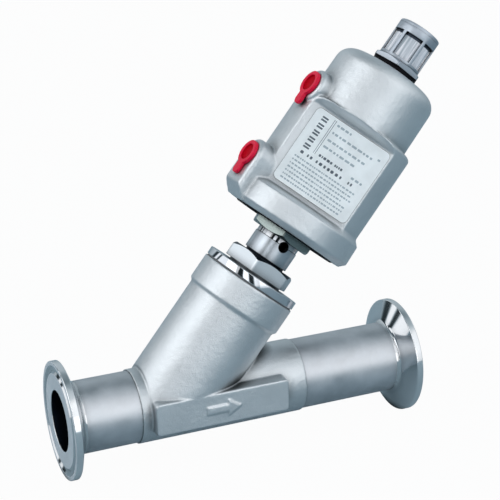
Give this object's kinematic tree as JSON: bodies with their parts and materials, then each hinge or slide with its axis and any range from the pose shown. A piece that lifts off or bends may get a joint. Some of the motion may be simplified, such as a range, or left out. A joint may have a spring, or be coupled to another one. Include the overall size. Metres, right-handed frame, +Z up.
{
  "type": "pneumatic piston valve",
  "caption": "Angle-seat pneumatic piston valve with clamp ends, inclined spring-closed piston actuator, two plugged air ports, a type plate and a windowed position indicator.",
  "frame": {"origin": "centre of the inlet ferrule's flange face, on the pipe axis", "axes": "+X along the pipe from the inlet to the outlet; +Z up; the branch rises in the XZ plane towards +X, and the type plate is on the -Y side"},
  "size_m": [0.1774, 0.0602, 0.1768],
  "materials": {
    "blasted_steel": "investment cast stainless steel, fine bead-blasted, matte",
    "polished_steel": "turned and polished stainless steel",
    "turned_steel": "fine turned stainless steel",
    "spring_steel": "drawn spring steel",
    "nut_steel": "machined stainless steel",
    "white_ptfe": "white seal plastic",
    "bush_bronze": "sintered bronze",
    "black_rubber": "black seal rubber",
    "grey_gasket": "filled seal plastic",
    "red_plastic": "soft red polythene",
    "plate_film": "pale silver-white label film, printed",
    "clear_plastic": "milky clear plastic tube",
    "indicator_white": "pale plastic"
  },
  "bodies": {
    "valve": {"valve_body": "blasted_steel", "inlet_ferrule": "polished_steel", "outlet_ferrule": "polished_steel", "body_gasket": "grey_gasket", "bonnet": "polished_steel", "lower_stem_bush": "bush_bronze", "packing_support_ring": "white_ptfe", "packing_rings": "white_ptfe", "packing_pressure_ring": "white_ptfe", "packing_spring": "spring_steel", "gland_nut": "turned_steel", "upper_stem_bush": "bush_bronze", "stem_seal": "black_rubber", "seal_circlip": "spring_steel", "swivel_washer": "white_ptfe", "swivel_circlip": "spring_steel"},
    "actuator": {"actuator_housing": "blasted_steel", "actuator_cover": "turned_steel", "cover_circlip": "spring_steel", "cover_dust_seal": "black_rubber", "cover_o_ring": "black_rubber", "neck_o_rings": "black_rubber", "type_plate": "plate_film", "upper_port_plug": "red_plastic", "lower_port_plug": "red_plastic", "indicator_seal": "black_rubber", "indicator_base": "turned_steel", "sight_glass": "clear_plastic", "indicator_guard": "turned_steel", "main_spring": "spring_steel"},
    "stem_group": {"stem": "turned_steel", "piston": "turned_steel", "piston_seal": "black_rubber", "piston_guide_band": "grey_gasket", "stem_o_ring": "black_rubber", "piston_washer": "turned_steel", "piston_nut": "nut_steel", "indicator_rod": "turned_steel", "indicator_head": "indicator_white", "valve_disc": "turned_steel", "disc_seal": "white_ptfe", "disc_washer": "turned_steel", "disc_nut": "nut_steel"}
  },
  "joints": [
    {"name": "stem_lift", "type": "slide", "parent": "valve", "child": "stem_group", "axis": [0.6428, 0, 0.766], "range_m": [0, 0.011], "stiffness_N_per_m": 10000, "springref_m": -0.02, "deforming": ["main_spring"]},
    {"name": "actuator_swivel", "type": "hinge", "parent": "valve", "child": "actuator", "pos_m": [0.10258, 0, 0.06481], "axis": [0.6428, 0, 0.766], "continuous": true}
  ]
}
